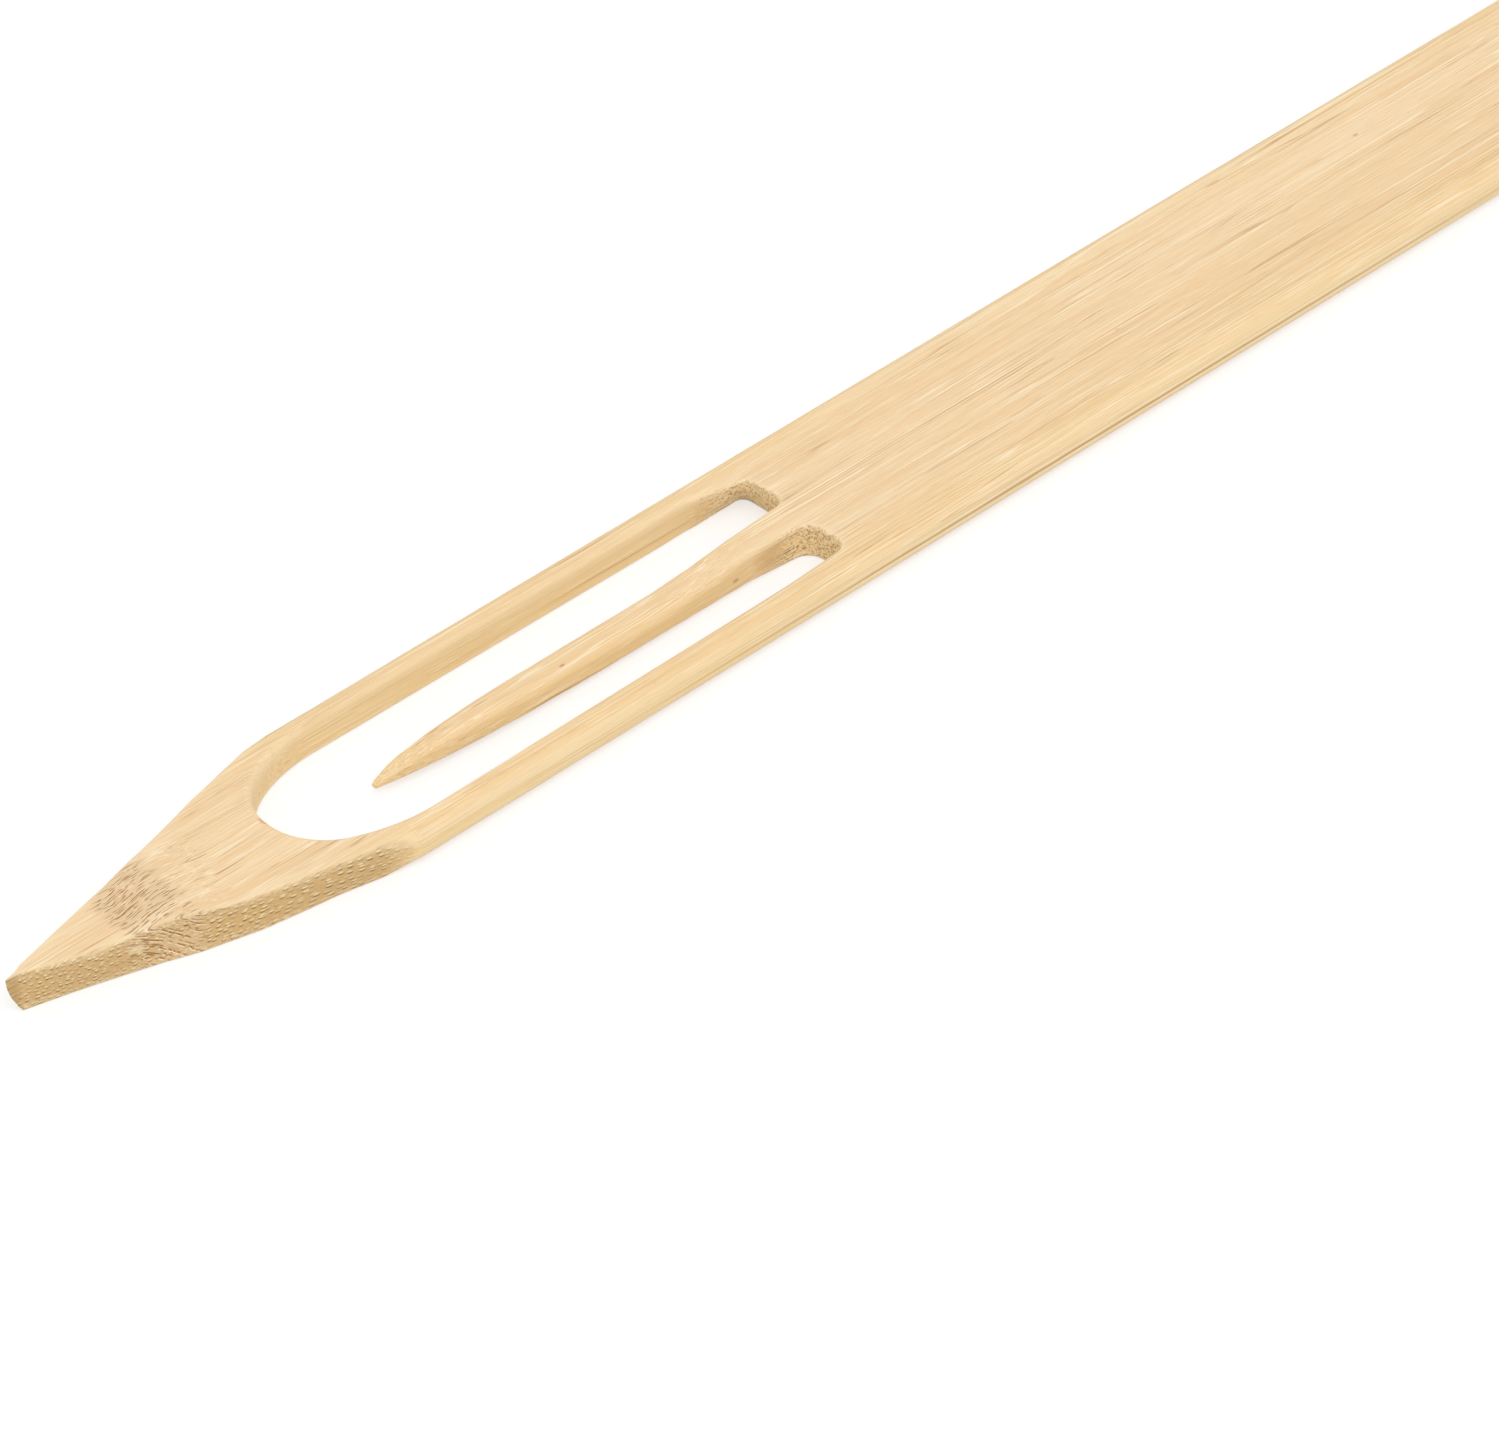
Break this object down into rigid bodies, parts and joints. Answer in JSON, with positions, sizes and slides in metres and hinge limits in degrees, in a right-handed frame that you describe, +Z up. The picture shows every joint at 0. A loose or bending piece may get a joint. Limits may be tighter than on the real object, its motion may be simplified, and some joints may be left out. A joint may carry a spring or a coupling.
{
  "type": "netting needle",
  "caption": "Flat bamboo netting needle with a blunt point, a long eye holding a springy tongue, and a forked heel; it carries twine for knotting nets.",
  "frame": {"origin": "middle of the underside", "axes": "+X along the needle to its point, +Y across it, +Z up out of its face"},
  "size_m": [0.23, 0.02, 0.0041],
  "materials": {
    "bamboo": "planed and sanded, unvarnished"
  },
  "bodies": {
    "blade": {"blade": "bamboo"},
    "tongue": {"tongue": "bamboo"}
  },
  "joints": [
    {"name": "tongue_flex", "type": "hinge", "parent": "blade", "child": "tongue", "pos_m": [0.02887, 0, 0.00175], "axis": [0, -1, 0], "range_deg": [-7, 7], "stiffness_Nm_per_rad": 2.7, "deforming": ["tongue"]}
  ]
}
